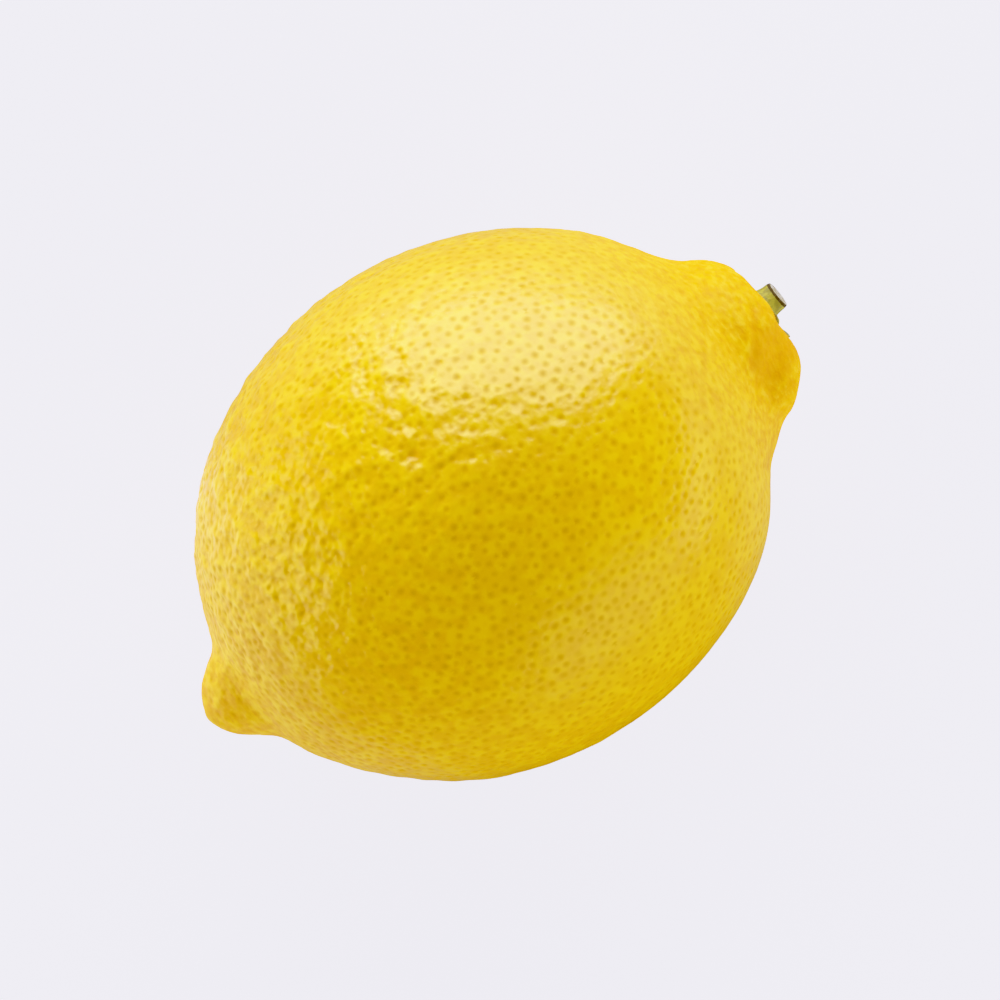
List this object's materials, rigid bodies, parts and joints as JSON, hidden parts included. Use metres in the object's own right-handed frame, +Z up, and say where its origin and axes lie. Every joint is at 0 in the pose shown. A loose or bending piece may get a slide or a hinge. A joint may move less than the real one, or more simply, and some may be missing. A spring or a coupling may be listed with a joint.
{
  "type": "lemon",
  "caption": "Whole ripe lemon lying on its side, with a pointed nipple, a ribbed collar, a small star-shaped calyx and the cut end of its stalk.",
  "frame": {"origin": "middle of the footprint, on the surface that the lemon lies on", "axes": "+X along the fruit from the nipple to the stalk, +Z up"},
  "size_m": [0.0821, 0.0602, 0.06],
  "materials": {
    "rind": "satin",
    "calyx": "matt",
    "stalk": "matt"
  },
  "bodies": {
    "root": {"fruit": "rind", "calyx": "calyx", "stalk": "stalk"}
  },
  "joints": []
}
